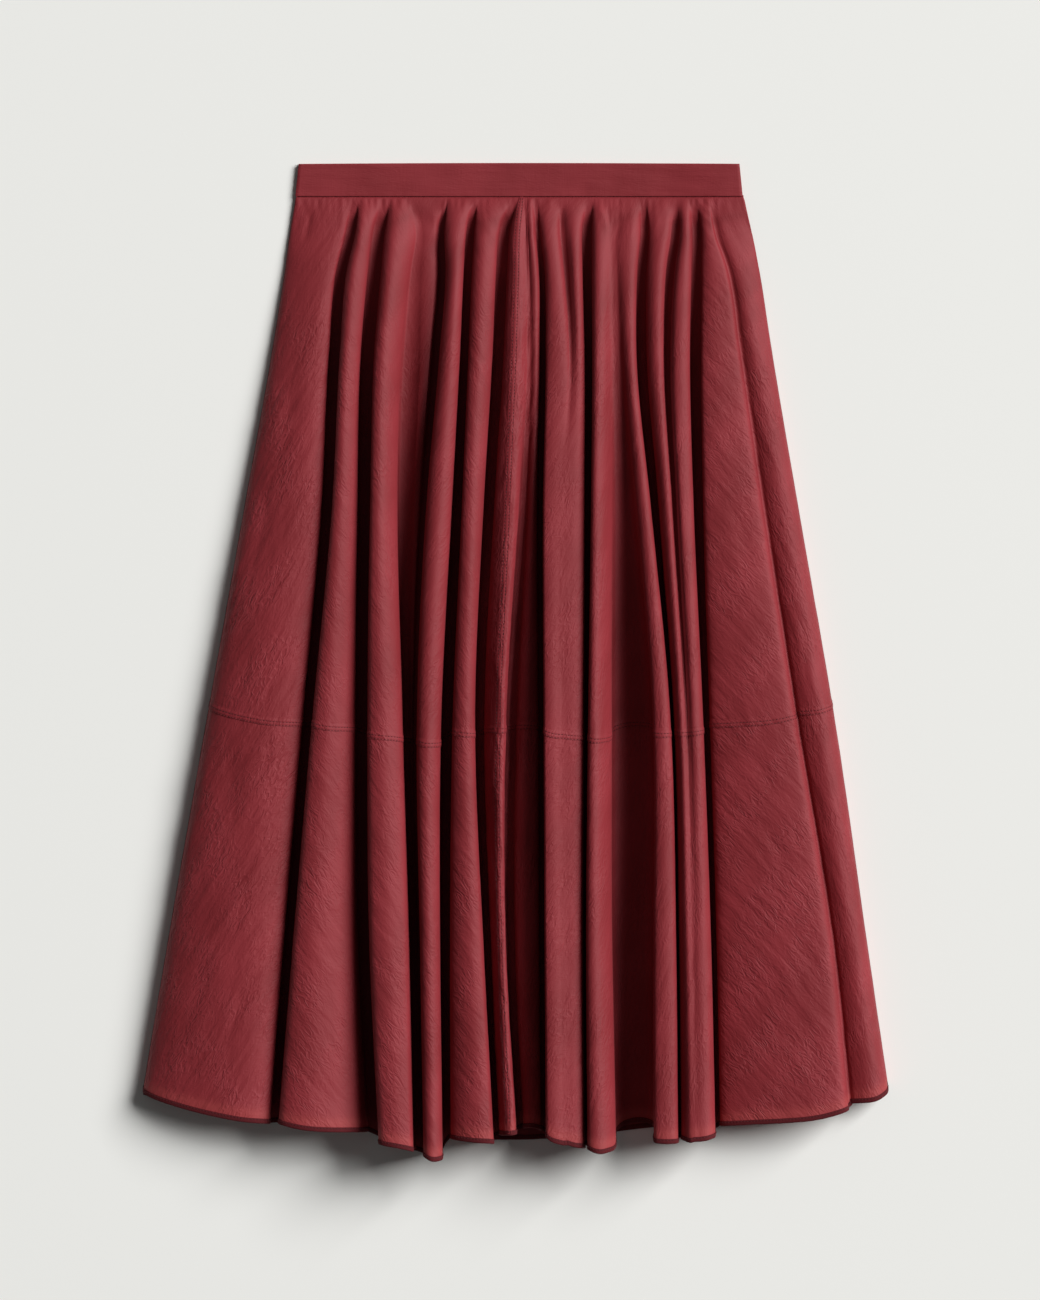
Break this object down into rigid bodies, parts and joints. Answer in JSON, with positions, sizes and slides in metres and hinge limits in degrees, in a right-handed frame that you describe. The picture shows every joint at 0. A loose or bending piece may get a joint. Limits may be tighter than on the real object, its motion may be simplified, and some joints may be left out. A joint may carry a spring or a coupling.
{
  "type": "circle skirt laid flat",
  "caption": "Below-knee circle skirt laid flat, front up, with a plain waistband, deep soft folds from waist to hem, a tier seam, a narrow bound hem and a concealed side zip.",
  "frame": {"origin": "middle of the outline, on the surface the skirt lies on", "axes": "+X towards the wearer's left, +Y from hem to waistband, +Z out of the surface, so the front faces +Z"},
  "size_m": [0.6347, 0.8462, 0.063],
  "materials": {
    "crinkled_cloth": "matte crinkled cotton and nylon, burgundy",
    "binding_cloth": "matte folded binding, dark burgundy",
    "zip_tape": "woven zip tape, dark burgundy",
    "zip_metal": "satin lacquered zinc, dark burgundy"
  },
  "bodies": {
    "skirt": {"back_lower": "crinkled_cloth", "back_upper": "crinkled_cloth", "front_lower_left": "crinkled_cloth", "front_lower_right": "crinkled_cloth", "front_upper_left": "crinkled_cloth", "front_upper_right": "crinkled_cloth", "hem_binding_back": "binding_cloth", "hem_binding_front": "binding_cloth", "waistband_back": "crinkled_cloth", "waistband_front": "crinkled_cloth", "zip_slider": "zip_metal", "zip_tape": "zip_tape"},
    "pull": {"zip_pull": "zip_metal"}
  },
  "joints": [
    {"name": "pull_turn", "type": "hinge", "parent": "skirt", "child": "pull", "pos_m": [0.18533, 0.41745, 0.0026], "axis": [0, 0, 1], "range_deg": [0, 170]}
  ]
}
